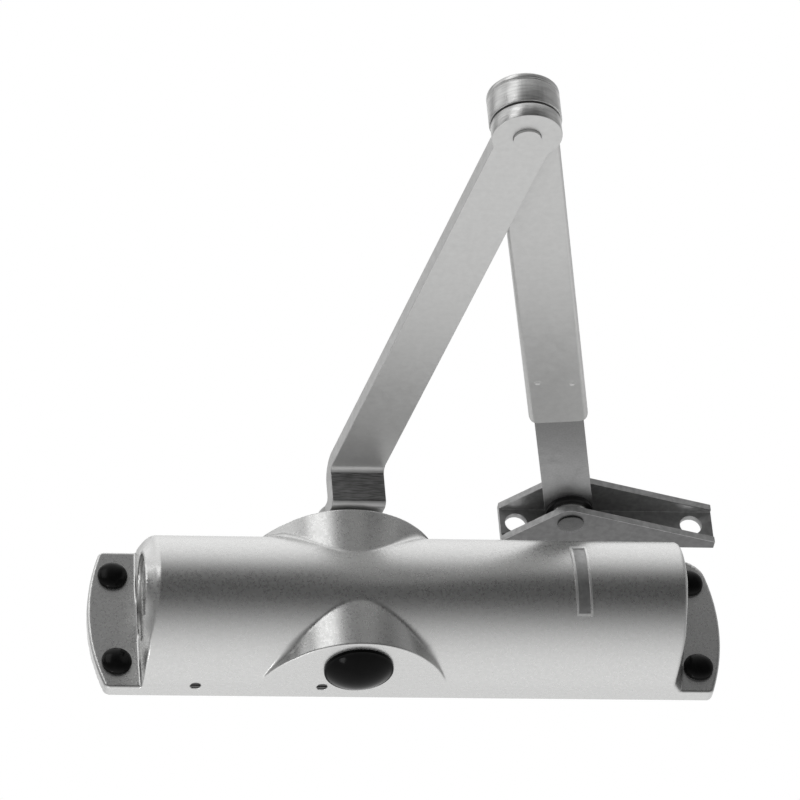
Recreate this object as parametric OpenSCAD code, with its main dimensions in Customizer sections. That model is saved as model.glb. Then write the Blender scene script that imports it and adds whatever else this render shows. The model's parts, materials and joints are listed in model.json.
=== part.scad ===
// Overhead door closer with a rack and pinion body, a folding arm and a frame bracket.
// Millimetres, +Z up. The door face is the plane Y = 0 and the body stands off it towards -Y.
// The origin is the middle of the four fixing screws on the door face.

/* [Casing] */
// Length over both flanges
casing_len = 226; // [222:1:240]
// Height of the casing
casing_h = 57.2; // [56:0.2:60]
// Depth from the door face to the front of the barrel
casing_depth = 35.4; // [35:0.2:38]
// Length of the left flange, outside the barrel
left_flange_len = 17.7; // [17:0.1:20]
// Length of the right flange, outside the barrel
right_flange_len = 16; // [15.5:0.5:18]
// Thickness of the flanges
flange_t = 5; // [4:0.1:5.5]
// Radius of the flanges' curved ends
flange_arc_r = 80; // [65:1:100]
// Taper of the barrel's end faces, flange to front
end_taper = 0.8; // [0.4:0.1:2]
// Radius of the bosses round the spindle
boss_r = 32.6; // [32:0.1:34]
// Distance of the bosses' centre from the door face
boss_y = 1.1; // [0.5:0.1:2]
// Bore for the piston
bore_d = 28; // [27:0.5:28.5]
// Distance of the bore and spindle axes from the door face
spindle_y = 18.4; // [18:0.1:18.6]
// Distance of the spindle from the middle of the casing, to the left
spindle_offset = 20.5; // [18:0.5:24]

/* [Fixing screws] */
// Distance of the screws from the ends of the flanges
screw_inset = 9.5; // [9:0.1:10]
// Spacing of the screws up the casing
screw_pitch_z = 36; // [32:1:38]
// Shank diameter of a screw
screw_d = 5; // [4:0.5:5.5]
// Head diameter of a screw
screw_head_d = 10.7; // [9:0.1:11]
// Head height of a screw
screw_head_h = 3; // [2.2:0.1:3.5]
// Length of shank that stands out behind the flange
screw_reach = 11; // [8:1:16]

/* [End plugs] */
// Diameter of an end plug
plug_d = 30; // [29.5:0.1:30.5]
// Length of an end plug
plug_len = 9; // [8:0.5:12]
// Depth of the plugs below the barrel's end edge
plug_inset = 1.2; // [1:0.1:3]
// Width across flats of the plugs' key socket
plug_key = 12; // [8:0.5:14]

/* [Rack and pinion] */
// Tooth module
tooth_module = 1.5; // [1.4:0.05:1.6]
// Teeth on the pinion
pinion_teeth = 10; // [10:1:11]
// Height of the pinion's teeth
pinion_h = 16; // [14:0.5:17]
// Angle that the spindle turns, from rest to the open stop
spindle_travel = 160; // [120:5:170]
// Length of the piston's left head
piston_left_len = 10; // [9:0.5:12]
// Length of the piston's right head
piston_right_len = 12; // [11:0.5:14]
// Wire diameter of the closing spring
spring_wire_d = 3.2; // [2.6:0.1:3.4]
// Outer diameter of the closing spring
spring_d = 25; // [24:0.2:25.4]
// Turns of the closing spring
spring_turns = 12; // [8:1:12]

/* [Spindle] */
// Journal diameter of the spindle
journal_d = 16; // [15:0.2:16.4]
// Width of the square that drives the arm
square_w = 11; // [9.5:0.25:11.2]
// Thread diameter of the arm screw
arm_screw_d = 6; // [5:0.5:6]
// Diameter of the upper bearing gland
gland_d = 26; // [25:0.5:27]
// Diameter of the lower bearing
lower_bearing_d = 23; // [22:0.25:23.5]
// Diameter of the domed cap under the spindle
cap_d = 24.4; // [24:0.1:26]
// Height of the domed cap
cap_h = 5.6; // [4.5:0.1:6.5]

/* [Regulating valves] */
// Distance of the closing valve from the spindle, to the left
closing_valve_dx = 56; // [50:1:60]
// Distance of the latching valve from the spindle, to the left
latching_valve_dx = 11.5; // [10:0.5:14]
// Distance of the valves from the door face
valve_y = 6.3; // [5.8:0.1:6.6]
// Diameter of a valve screw
valve_d = 3.6; // [3:0.1:4]
// Length of a valve screw
valve_len = 15; // [13:0.5:16]

/* [Badge] */
// Width of the blank badge
badge_w = 5.8; // [5:0.2:9]
// Distance of the badge from the spindle, to the right
badge_dx = 79.3; // [70:0.1:86]
// Angle that the badge covers round the barrel
badge_angle = 60; // [40:2:64]
// Height of the badge above the barrel
badge_t = 0.7; // [0.5:0.1:1]

/* [Main arm] */
// Distance from the spindle to the elbow
arm_len = 206; // [190:1:230]
// Thickness of the arm
arm_t = 5.5; // [5:0.25:6]
// Width of the arm at its root
arm_root_w = 18.8; // [17:0.2:19.4]
// Width of the arm near the elbow
arm_tip_w = 18.8; // [18:0.2:20]
// Diameter of the arm's eye at the elbow
arm_eye_d = 23.4; // [22:0.2:24.2]
// Step from the arm's root up to its long part
arm_step = 15.5; // [14:0.5:18]
// Distance from the spindle to the front of the step
step_reach = 15; // [14.8:0.2:20]
// Angle of the arm away from square to the door, at rest
arm_angle = 10; // [0:1:14]

/* [Elbow] */
// Diameter of the elbow knuckle
knuckle_d = 24.2; // [23.4:0.2:25.6]
// Height of the elbow knuckle
knuckle_h = 12.2; // [11.5:0.1:13]
// Diameter of the elbow rivet's bearing
elbow_pin_d = 12; // [10:0.5:12]
// Diameter of the elbow rivet's end, which shows under the arm
elbow_rivet_d = 9; // [8:0.2:9.4]

/* [Forearm] */
// Distance from the elbow to the bracket pin
forearm_len = 232; // [226:1:245]
// Angle of the forearm away from square to the door, at rest
forearm_angle = 12.5; // [10:0.5:14]
// Width of the sleeve
sleeve_w = 21; // [20.6:0.2:22]
// Wall of the sleeve
sleeve_wall = 1.6; // [1.4:0.1:1.8]
// Reach of the sleeve from the elbow
sleeve_reach = 174.5; // [168:0.5:180]
// Thickness of the bar that slides in the sleeve
bar_t = 4.4; // [4:0.1:4.6]
// Length of the bar
bar_len = 181; // [175:1:185]
// Distance of the clamp screw from the sleeve's open end
clamp_inset = 60; // [56:1:64]
// Thread diameter of the clamp screw
clamp_screw_d = 6; // [5:0.5:6]

/* [Bracket] */
// Length of the bracket's back plate
foot_len = 79; // [77:1:86]
// Distance from the pin to the plate's left end
foot_left = 23.6; // [23:0.2:26]
// Thickness of the bracket's sheet
foot_t = 2.5; // [2:0.1:2.8]
// Gap between the bracket's ears
foot_gap = 11.8; // [11.6:0.2:13]
// Distance from the pin to the back plate's face
foot_depth = 12; // [11.8:0.2:13]
// Reach of the ears' nose in front of the pin
nose_reach = 8.6; // [8.4:0.2:10]
// Spacing of the bracket's two holes
foot_hole_pitch = 65; // [62:0.5:66]
// Diameter of the bracket's holes
foot_hole_d = 8; // [6:0.2:8.4]
// Distance of the left hole from the plate's left end
foot_hole_inset = 6; // [5.8:0.1:7]
// Diameter of the bracket pin
foot_pin_d = 8; // [6:0.2:8]
// Head diameter of the bracket pin
foot_pin_head_d = 9.6; // [9.2:0.1:11]
// Diameter of the black bushes on the bracket pin
bush_d = 17; // [16:0.2:17.4]
// Thickness of a black bush
bush_t = 1.6; // [1:0.1:2]
// Diameter of the steel collars between the bushes and the ears
collar_d = 14; // [12:0.2:15]

/* [Clearances] */
// Running clearance on each side of a turning or sliding fit
run_gap = 0.05; // [0.03:0.01:0.08]
// Clearance on each side of pieces that are fixed together
seat_gap = 0.04; // [0.02:0.01:0.06]
// Gap between flat faces that move past each other
face_gap = 0.15; // [0.1:0.05:0.2]
// Clearance of a fixing screw in its hole
screw_gap = 0.3; // [0.2:0.05:0.4]

/* [Hidden] */

$fn = 96;
arc_steps = 10;
cut = 1;

// Casing
half_h = casing_h / 2;
barrel_r = half_h;
left_end = -casing_len / 2 + left_flange_len;
right_end = casing_len / 2 - right_flange_len;
front_y = -casing_depth;
barrel_y = front_y + barrel_r;
spindle_x = -spindle_offset;
end_round = 4.5;
corner_r = 3;
top_corner_r = 7;
arc_corner = 8.5;
arc_reach = half_h - arc_corner;
screw_pitch_x = casing_len - 2 * screw_inset;

// Screw and cap heads
dome_rim = 0.8;
cap_rim = 2.2;
screw_slot_w = 1.1;
screw_slot_depth = 1.5;
neck_rise = 0.15;

// Rack and pinion
pitch_r = tooth_module * pinion_teeth / 2;
addendum = 0.8 * tooth_module;
dedendum = tooth_module;
pressure_angle = 25;
tooth_play = 0.15;
tooth_pitch = tooth_module * PI;
stroke = pitch_r * spindle_travel * PI / 180;
pinion_r = pitch_r + addendum;
spindle_bore_r = pinion_r + 0.5;
piston_r = bore_d / 2 - run_gap;
window_margin = 1.3;
window_half_w = max(pinion_r, journal_d / 2) + 0.8;
window_left = spindle_x - pinion_r - stroke - window_margin;
window_right = spindle_x + pinion_r + window_margin;
piston_left = window_left - piston_left_len;
piston_right = window_right + piston_right_len;
seal_w = 2.4;
seal_depth = 1.3;
seal_land = 3;
piston_seal_places = [piston_left + seal_land, piston_right - seal_land - seal_w];
rack_edge = 0.2;
check_ball_r = 2;
check_bore_r = 1.4;
ball_depth = 7;
ball_seat = piston_right - ball_depth;
retainer_t = 1.5;

// Regulating valves
valve_seal_t = 0.6;
valve_seal_w = 1;
valve_seal_z = valve_len / 2;
valve_duct_d = 2;
valve_inset = 0.4;
valve_slot_w = 0.8;
valve_slot_depth = 1.1;

// End plugs and spring
plug_left_face = left_end + plug_inset;
plug_right_face = right_end - plug_inset;
plug_bore_r = plug_d / 2 + seat_gap;
plug_seal_r = 1.1;
plug_land = 2;
plug_chamfer = 1;
plug_key_depth = plug_len / 2;
spring_left = piston_right + 0.3;
spring_right = plug_right_face - plug_len - 0.3;
spring_r = (spring_d - spring_wire_d) / 2;
spring_rings = 10;
spring_sides = 6;

// Spindle, from its lower end up
journal_r = journal_d / 2;
bearing_depth = 12;
bearing_bottom = -half_h + 2.5;
shaft_bottom = -half_h + 3;
seat_z = half_h + 2;
root_z = seat_z;
square_top = root_z + arm_t - 0.6;
journal_gap = 0.3;
seal_h = 3.4;
seal_inset = 0.3;
seal_r = journal_r + 3.2;
screw_depth = 16;
washer_t = 1.5;
arm_screw_head_h = 4;
arm_screw_key = 10;

// Main arm
arm_z = root_z + arm_step;
arm_top = arm_z + arm_t;
root_eye_r = 10.5;
bend_r = 2.5;
bend_back_r = 1.5;
washer_r = min(root_eye_r - bend_back_r, step_reach - arm_t - bend_back_r - face_gap);
elbow_x = spindle_x + arm_len * sin(arm_angle);
elbow_y = -spindle_y - arm_len * cos(arm_angle);

// Elbow
wear_t = 0.5;
wear_washer_r = arm_eye_d / 2 - 1.6;
rivet_proud = 1;
knuckle_z = arm_top + wear_t + face_gap;
knuckle_top = knuckle_z + knuckle_h;
bush_wall = 2;
rivet_head_t = 1.2;
rivet_head_z = knuckle_top - 2.6;
rivet_head_r = elbow_pin_d / 2 + bush_wall;
cap_recess_r = knuckle_d / 2 - 2;
knuckle_chamfer = 0.2;
rim_z = knuckle_top - 3.2;
rim_groove = 0.3;
rim_chamfer = 0.9;
cap_rise = 0.7;

// Forearm
bar_gap = face_gap;
bar_w = sleeve_w - 2 * sleeve_wall - 2 * bar_gap;
sleeve_h = bar_t + 2 * bar_gap + 2 * sleeve_wall;
sleeve_z = knuckle_z + (knuckle_h - sleeve_h) / 2 + 0.9;
bar_z = sleeve_z + sleeve_wall + bar_gap;
pin_x = elbow_x + forearm_len * sin(forearm_angle);
pin_y = elbow_y + forearm_len * cos(forearm_angle);
bar_mid_z = bar_z + bar_t / 2;
clamp_at = sleeve_reach - clamp_inset;
nut_h = 4.5;
nut_w = 10;
sleeve_corner_r = 3.5;
dimple_r = 2.4;
dimple_depth = 0.3;
hollow_start = knuckle_d / 2 + 2;
clamp_head_gap = 1.2;
clamp_head_r = 0.8 * clamp_screw_d;
clamp_head_h = 0.8 * clamp_screw_d;
clamp_key = 0.75 * clamp_screw_d;
clamp_key_depth = clamp_head_h / 2;
bar_end_r = 2;
dimple_inset = 23.6;
dimple_spread = 6;
// The sleeve's open end leans half way, and its dimples all the way, along the door at rest
end_slant = tan(forearm_angle / 2);
dimple_slant = tan(forearm_angle);

// Bracket
foot_low = bar_mid_z - foot_gap / 2 - foot_t;
foot_high = bar_mid_z + foot_gap / 2 + foot_t;
nose_dx = -2.5;
nose_r = 6;
ear_left_w = 0.5;
ear_right_w = 1.3;
ear_end_r = 0.4;
pin_head_t = 1.2;
pin_head_rim = 0.5;

// Points of a closed outline whose corners [x, y, radius] are rounded to their own radii
function unit(v) = v / norm(v);
function corner(a, p, b) =
    let (pc = [p[0], p[1]], u = unit([a[0], a[1]] - pc), v = unit([b[0], b[1]] - pc),
         half = acos(max(-1, min(1, u * v))) / 2, reach = p[2] / tan(half),
         mid = pc + unit(u + v) * p[2] / sin(half),
         from = pc + u * reach - mid, to = pc + v * reach - mid,
         start = atan2(from[1], from[0]), turn = atan2(to[1], to[0]) - start,
         sweep = turn > 180 ? turn - 360 : turn < -180 ? turn + 360 : turn)
    p[2] <= 0 ? [pc] :
    [for (i = [0 : arc_steps]) mid + p[2] * [cos(start + sweep * i / arc_steps),
                                             sin(start + sweep * i / arc_steps)]];
function rounded(c) = [for (i = [0 : len(c) - 1])
    each corner(c[(i + len(c) - 1) % len(c)], c[i], c[(i + 1) % len(c)])];

// Half the angle that a pinion tooth fills at radius r, on an involute flank
function inv(a) = tan(a) * 180 / PI - a;
function tooth_half(r) =
    let (base = pitch_r * cos(pressure_angle), a = r > base ? acos(base / r) : 0)
    90 / pinion_teeth - tooth_play / 2 / pitch_r * 180 / PI + inv(pressure_angle) - inv(a);

// Drops pieces onto the axes that they turn about
module at_spindle() { translate([spindle_x, -spindle_y, 0]) children(); }
module at_elbow() { translate([elbow_x, elbow_y, 0]) children(); }
module at_pin() { translate([pin_x, pin_y, 0]) children(); }
// The main arm's own frame has +X from the spindle to the elbow
module arm_frame() { at_spindle() rotate([0, 0, arm_angle - 90]) children(); }
// The forearm's own frame has +X from the elbow to the bracket pin
module forearm_frame() { at_elbow() rotate([0, 0, 90 - forearm_angle]) children(); }
module along_x(x0, x1, r) {
    translate([x0, -spindle_y, 0]) rotate([0, 90, 0]) cylinder(r = r, h = x1 - x0);
}
module hex(w, h) { cylinder(r = w / 2 / cos(30), h = h, $fn = 6); }
module ring(r_out, r_in, z0, z1) {
    translate([0, 0, z0]) difference() {
        cylinder(r = r_out, h = z1 - z0);
        translate([0, 0, -cut]) cylinder(r = r_in, h = z1 - z0 + 2 * cut);
    }
}
module screw_places() {
    for (sx = [-1, 1], sz = [-1, 1])
        translate([sx * screw_pitch_x / 2, 0, sz * screw_pitch_z / 2]) children();
}

// Casting
module barrel() {
    // The plan's ends lean inwards towards the front, where its corners are rounded
    intersection() {
        union() {
            translate([left_end, barrel_y, 0]) rotate([0, 90, 0])
                cylinder(r = barrel_r, h = right_end - left_end);
            translate([left_end, barrel_y, -half_h])
                cube([right_end - left_end, -barrel_y, casing_h]);
        }
        translate([0, 0, -half_h]) linear_extrude(casing_h) polygon(rounded([[left_end, 0, 0],
            [left_end + end_taper, front_y, end_round], [right_end - end_taper, front_y, end_round],
            [right_end, 0, 0]]));
    }
}
function end_arc(side, z) =
    side * (casing_len / 2 - flange_arc_r + sqrt(flange_arc_r * flange_arc_r - z * z));
function end_points(side, up) =
    [for (i = [-arc_steps : arc_steps]) let (z = up * arc_reach * i / arc_steps)
        [end_arc(side, z), z, 0]];
module flange() {
    rotate([90, 0, 0]) linear_extrude(flange_t) polygon(rounded(concat(
        [[end_arc(-1, -half_h), -half_h, corner_r], [end_arc(1, -half_h), -half_h, corner_r]],
        end_points(1, 1),
        [[end_arc(1, half_h), half_h, top_corner_r], [end_arc(-1, half_h), half_h, corner_r]],
        end_points(-1, -1))));
}
module bosses() {
    intersection() {
        translate([spindle_x, -boss_y, -half_h]) cylinder(r = boss_r, h = casing_h);
        translate([spindle_x - boss_r, front_y, -half_h]) cube([2 * boss_r, casing_depth, casing_h]);
    }
}
module valve_bore(dx) {
    translate([spindle_x - dx, -valve_y, -half_h - cut]) {
        cylinder(r = valve_d / 2 + run_gap, h = valve_len + 2 * cut, $fn = 48);
        // The oil duct on into the piston's bore
        cylinder(r = valve_duct_d / 2, h = half_h, $fn = 24);
    }
}
module body_casting() {
    color("silver") difference() {
        union() {
            barrel();
            flange();
            bosses();
        }
        along_x(left_end - cut, right_end + cut, bore_d / 2);
        along_x(left_end - cut, plug_left_face + plug_len + seat_gap, plug_bore_r);
        along_x(plug_right_face - plug_len - seat_gap, right_end + cut, plug_bore_r);
        at_spindle() {
            translate([0, 0, -half_h + bearing_depth - cut])
                cylinder(r = spindle_bore_r, h = casing_h - 2 * bearing_depth + 2 * cut);
            translate([0, 0, half_h - bearing_depth])
                cylinder(r = gland_d / 2 + seat_gap, h = bearing_depth + cut);
            translate([0, 0, -half_h - cut])
                cylinder(r = lower_bearing_d / 2 + seat_gap, h = bearing_depth + cut);
        }
        valve_bore(closing_valve_dx);
        valve_bore(latching_valve_dx);
        screw_places() rotate([90, 0, 0]) translate([0, 0, -cut])
            cylinder(r = screw_d / 2 + screw_gap, h = flange_t + 2 * cut, $fn = 48);
    }
}

// Fixed pieces in and on the casting
module end_plug() {
    // The outer face is at Z = 0 and the plug runs up from it
    r = plug_d / 2;
    groove_r = r - 2 * plug_seal_r;
    groove_top = plug_len - plug_land;
    groove_bottom = groove_top - 2 * plug_seal_r;
    difference() {
        rotate_extrude() polygon([[0, 0], [r - plug_chamfer, 0], [r, plug_chamfer], [r, groove_bottom],
            [groove_r, groove_bottom], [groove_r, groove_top], [r, groove_top], [r, plug_len],
            [0, plug_len]]);
        translate([0, 0, -cut]) hex(plug_key, plug_key_depth + cut);
    }
}
module left_end_plug() {
    color("gray") translate([plug_left_face, -spindle_y, 0]) rotate([0, 90, 0]) end_plug();
}
module right_end_plug() {
    color("gray") translate([plug_right_face, -spindle_y, 0]) rotate([0, -90, 0]) end_plug();
}
module end_plug_seals() {
    seal_at = plug_len - plug_land - plug_seal_r;
    color("black") for (x = [plug_left_face + seal_at, plug_right_face - seal_at])
        translate([x, -spindle_y, 0]) rotate([0, 90, 0]) rotate_extrude()
            translate([plug_d / 2 - plug_seal_r, 0]) circle(r = plug_seal_r - seat_gap, $fn = 24);
}
module upper_gland() {
    color("dimgray") at_spindle() difference() {
        ring(gland_d / 2, journal_r + run_gap, half_h - bearing_depth + seat_gap, half_h);
        translate([0, 0, half_h - seal_h - seat_gap]) cylinder(r = seal_r + seat_gap, h = seal_h + cut);
    }
}
module lower_bearing() {
    color("dimgray") at_spindle()
        ring(lower_bearing_d / 2, journal_r + run_gap, bearing_bottom, -half_h + bearing_depth - seat_gap);
}
module shaft_seal() {
    color("black") at_spindle() ring(seal_r, journal_r + run_gap, half_h - seal_h, half_h - seal_inset);
}
// Outline of a domed head, Z = 0 at its seat
function dome(r, h, rim) = concat([[0, 0], [r, 0]],
    [for (i = [0 : arc_steps]) let (a = 90 * i / arc_steps) [r * cos(a), rim + (h - rim) * sin(a)]]);
module spindle_cap() {
    color("black") at_spindle() translate([0, 0, -half_h]) {
        cylinder(r = lower_bearing_d / 2, h = bearing_bottom + half_h - seat_gap);
        mirror([0, 0, 1]) rotate_extrude() polygon(dome(cap_d / 2, cap_h, cap_rim));
    }
}
module blank_badge() {
    color("silver") translate([spindle_x + badge_dx - badge_w / 2, barrel_y, 0]) rotate([0, 90, 0])
        rotate([0, 0, -90 - badge_angle / 2]) rotate_extrude(angle = badge_angle, $fn = 180)
            translate([barrel_r + seat_gap / 2, 0]) square([badge_t, badge_w]);
}
module fixing_screws() {
    head_r = screw_head_d / 2;
    color("black") screw_places() rotate([90, 0, 0]) translate([0, 0, flange_t]) difference() {
        union() {
            translate([0, 0, -flange_t - screw_reach])
                cylinder(r = screw_d / 2, h = screw_reach + cut, $fn = 48);
            // The neck in the flange is a little thicker than the thread
            translate([0, 0, -flange_t])
                cylinder(r = screw_d / 2 + neck_rise, h = flange_t + dome_rim, $fn = 48);
            rotate_extrude($fn = 64) polygon(dome(head_r, screw_head_h, dome_rim));
        }
        for (turn = [0, 90]) rotate([0, 0, turn])
            translate([-head_r / 2, -screw_slot_w / 2, screw_head_h - screw_slot_depth])
                cube([head_r, screw_slot_w, screw_head_h]);
    }
}

// Regulating valves
module valve_screw(dx) {
    translate([spindle_x - dx, -valve_y, -half_h]) difference() {
        translate([0, 0, valve_inset]) cylinder(r = valve_d / 2, h = valve_len - valve_inset, $fn = 48);
        translate([-valve_d, -valve_slot_w / 2, 0])
            cube([2 * valve_d, valve_slot_w, valve_inset + valve_slot_depth]);
        ring(valve_d, valve_d / 2 - valve_seal_t, valve_seal_z, valve_seal_z + valve_seal_w);
    }
}
module valve_seal(dx) {
    translate([spindle_x - dx, -valve_y, -half_h])
        ring(valve_d / 2 + run_gap / 2, valve_d / 2 - valve_seal_t + seat_gap / 2,
             valve_seal_z + seat_gap, valve_seal_z + valve_seal_w - seat_gap, $fn = 48);
}
module closing_valve() { color("dimgray") valve_screw(closing_valve_dx); }
module closing_valve_seal() { color("black") valve_seal(closing_valve_dx); }
module latching_valve() { color("dimgray") valve_screw(latching_valve_dx); }
module latching_valve_seal() { color("black") valve_seal(latching_valve_dx); }

// Piston and spring
module rack_tooth(x) {
    half = tooth_pitch / 4 - tooth_play / 2;
    slope = tan(pressure_angle);
    root = half + dedendum * slope;
    tip = half - addendum * slope;
    // The foot goes a little into the rack's own body
    foot = dedendum + tooth_play;
    translate([x, -spindle_y - pitch_r]) polygon([[-root, -foot], [root, -foot],
        [root, -dedendum], [tip, addendum], [-tip, addendum], [-root, -dedendum]]);
}
module piston() {
    rack_h = pinion_h - 2 * rack_edge;
    first = ceil((window_left - spindle_x) / tooth_pitch);
    last = floor((window_right - spindle_x) / tooth_pitch) - 1;
    color("gainsboro") difference() {
        union() {
            difference() {
                along_x(piston_left, piston_right, piston_r);
                translate([window_left, -spindle_y - window_half_w, -bore_d])
                    cube([window_right - window_left, 2 * window_half_w, 2 * bore_d]);
            }
            translate([window_left - cut, -spindle_y - window_half_w - cut, -rack_h / 2])
                cube([window_right - window_left + 2 * cut,
                      window_half_w + cut - pitch_r - dedendum, rack_h]);
            translate([0, 0, -rack_h / 2]) linear_extrude(rack_h)
                for (k = [first : last]) rack_tooth(spindle_x + (k + 0.5) * tooth_pitch);
        }
        for (x = piston_seal_places) translate([x, -spindle_y, 0]) rotate([0, 90, 0])
            ring(bore_d, piston_r - seal_depth, 0, seal_w);
        along_x(window_right - cut, piston_right + cut, check_bore_r);
        along_x(ball_seat, piston_right + cut, check_ball_r + seat_gap);
    }
}
module piston_seals() {
    color("black") for (x = piston_seal_places) translate([x, -spindle_y, 0]) rotate([0, 90, 0])
        ring(piston_r + run_gap / 2, piston_r - seal_depth + seat_gap, seat_gap, seal_w - seat_gap);
}
module check_valve_ball() {
    color("lightgray") translate([ball_seat + check_ball_r + seat_gap, -spindle_y, 0])
        sphere(r = check_ball_r - seat_gap, $fn = 32);
}
module check_valve_retainer() {
    color("dimgray") translate([piston_right - retainer_t, -spindle_y, 0]) rotate([0, 90, 0])
        ring(check_ball_r, check_bore_r, 0, retainer_t);
}
function coil(t) = let (a = 360 * spring_turns * t)
    [spring_left + spring_wire_d / 2 + t * (spring_right - spring_left - spring_wire_d),
     -spindle_y + spring_r * cos(a), spring_r * sin(a)];
module closing_spring() {
    n = spring_turns * spring_rings;
    rise = (spring_right - spring_left - spring_wire_d) / (spring_turns * 2 * PI);
    middles = [for (i = [0 : n]) coil(i / n)];
    points = [for (i = [0 : n]) let (a = 360 * i / spring_rings, out = [0, cos(a), sin(a)],
                along = unit([rise, -spring_r * sin(a), spring_r * cos(a)]), side = cross(along, out))
        for (k = [0 : spring_sides - 1]) let (b = 360 * k / spring_sides)
            middles[i] + spring_wire_d / 2 * (out * cos(b) + side * sin(b))];
    walls = [for (i = [0 : n - 1], k = [0 : spring_sides - 1])
        let (p = i * spring_sides + k, q = i * spring_sides + (k + 1) % spring_sides)
        each [[p, q + spring_sides, q], [p, p + spring_sides, q + spring_sides]]];
    ends = [for (k = [1 : spring_sides - 2]) each [[0, k, k + 1],
        [n * spring_sides, n * spring_sides + k + 1, n * spring_sides + k]]];
    least = min([for (i = [0 : n], j = [i + ceil(spring_rings / 2) : 1 : n])
        norm(middles[i] - middles[j])]) - spring_wire_d;
    echo(str("Least gap between the spring's turns: ", least, " mm"));
    color("slategray") polyhedron(points, concat(walls, ends));
}

// Spindle and main arm
module pinion_shaft() {
    root_r = pitch_r - dedendum;
    base_r = max(root_r + 0.1, pitch_r * cos(pressure_angle));
    radii = [root_r, for (i = [0 : 4]) base_r + (pinion_r - base_r) * i / 4];
    color("darkgray") at_spindle() difference() {
        union() {
            translate([0, 0, -pinion_h / 2]) linear_extrude(pinion_h) polygon([
                for (k = [0 : pinion_teeth - 1]) let (mid = -90 + 360 * k / pinion_teeth)
                    each concat([for (r = radii) let (a = mid - tooth_half(r)) r * [cos(a), sin(a)]],
                                [for (i = [5 : -1 : 0]) let (r = radii[i], a = mid + tooth_half(r))
                                    r * [cos(a), sin(a)]])]);
            translate([0, 0, shaft_bottom]) cylinder(r = root_r, h = seat_z - shaft_bottom);
            translate([0, 0, shaft_bottom])
                cylinder(r = journal_r, h = -pinion_h / 2 - journal_gap - shaft_bottom);
            translate([0, 0, pinion_h / 2 + journal_gap])
                cylinder(r = journal_r, h = seat_z - pinion_h / 2 - journal_gap);
            rotate([0, 0, arm_angle]) translate([-square_w / 2, -square_w / 2, seat_z - cut])
                cube([square_w, square_w, square_top - seat_z + cut]);
        }
        translate([0, 0, square_top - screw_depth])
            cylinder(r = arm_screw_d / 2 + seat_gap, h = screw_depth + cut, $fn = 48);
    }
}
module arm_side() {
    polygon(rounded([[-arm_len, root_z, 0], [step_reach, root_z, bend_r],
        [step_reach, arm_z, bend_r], [2 * arm_len, arm_z, 0], [2 * arm_len, arm_top, 0],
        [step_reach - arm_t, arm_top, bend_r + arm_t],
        [step_reach - arm_t, root_z + arm_t, bend_back_r], [-arm_len, root_z + arm_t, 0]]));
}
module arm_plan() {
    polygon([[0, -arm_root_w / 2], [arm_len, -arm_tip_w / 2], [arm_len, arm_tip_w / 2],
             [0, arm_root_w / 2]]);
    circle(r = root_eye_r);
    translate([arm_len, 0]) circle(r = arm_eye_d / 2);
}
module main_arm() {
    color("silver") difference() {
        intersection() {
            // The bends run along the door at rest, not square to the arm
            at_spindle() rotate([90, 0, -90]) translate([0, 0, -arm_len / 2])
                linear_extrude(arm_len) arm_side();
            arm_frame() linear_extrude(2 * arm_top) arm_plan();
        }
        arm_frame() {
            translate([-square_w / 2 - seat_gap, -square_w / 2 - seat_gap, root_z - cut])
                cube([square_w + 2 * seat_gap, square_w + 2 * seat_gap, arm_t + 2 * cut]);
            translate([arm_len, 0, arm_z - cut])
                cylinder(r = elbow_rivet_d / 2 + seat_gap, h = arm_t + 2 * cut);
        }
    }
}
module arm_washer() {
    color("gray") at_spindle()
        ring(washer_r, arm_screw_d / 2 + seat_gap, root_z + arm_t, root_z + arm_t + washer_t);
}
module arm_screw() {
    head_z = root_z + arm_t + washer_t;
    color("gray") at_spindle() {
        translate([0, 0, square_top - screw_depth + 1])
            cylinder(r = arm_screw_d / 2, h = head_z - square_top + screw_depth, $fn = 48);
        translate([0, 0, head_z]) hex(arm_screw_key, arm_screw_head_h);
    }
}
module elbow_rivet() {
    color("silver") at_elbow() {
        translate([0, 0, arm_z - rivet_proud])
            cylinder(r = elbow_rivet_d / 2, h = arm_t + rivet_proud + cut);
        translate([0, 0, arm_top]) cylinder(r = elbow_pin_d / 2, h = rivet_head_z - arm_top + cut / 2);
        translate([0, 0, rivet_head_z]) cylinder(r = rivet_head_r, h = rivet_head_t);
    }
}
module elbow_washer() {
    color("dimgray") at_elbow()
        ring(wear_washer_r, elbow_pin_d / 2 + seat_gap, arm_top, arm_top + wear_t);
}

// Forearm
module elbow_knuckle() {
    r = knuckle_d / 2;
    bush_r = rivet_head_r + seat_gap;
    recess_z = rivet_head_z - face_gap;
    color("lightgray") at_elbow() rotate_extrude() polygon([[bush_r, knuckle_z],
        [r - knuckle_chamfer, knuckle_z], [r, knuckle_z + knuckle_chamfer], [r, rim_z],
        [r - rim_groove, rim_z + rim_groove], [r - rim_groove, rim_z + 2 * rim_groove],
        [r, rim_z + 3 * rim_groove], [r, knuckle_top - rim_chamfer], [r - rim_chamfer, knuckle_top],
        [cap_recess_r, knuckle_top], [cap_recess_r, recess_z], [bush_r, recess_z]]);
}
module elbow_bush() {
    color("peru") at_elbow() ring(elbow_pin_d / 2 + bush_wall, elbow_pin_d / 2 + run_gap,
                                  knuckle_z, rivet_head_z - face_gap);
}
module knuckle_cap() {
    cap_z = rivet_head_z + rivet_head_t + face_gap;
    color("gray") at_elbow() translate([0, 0, cap_z])
        rotate_extrude() polygon(dome(cap_recess_r - seat_gap, knuckle_top + cap_rise - cap_z,
                                      knuckle_top - cap_z));
}
module sleeve_section(w, h, r) {
    polygon(rounded([[-w / 2, 0, r], [w / 2, 0, r], [w / 2, h, r], [-w / 2, h, r]]));
}
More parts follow.
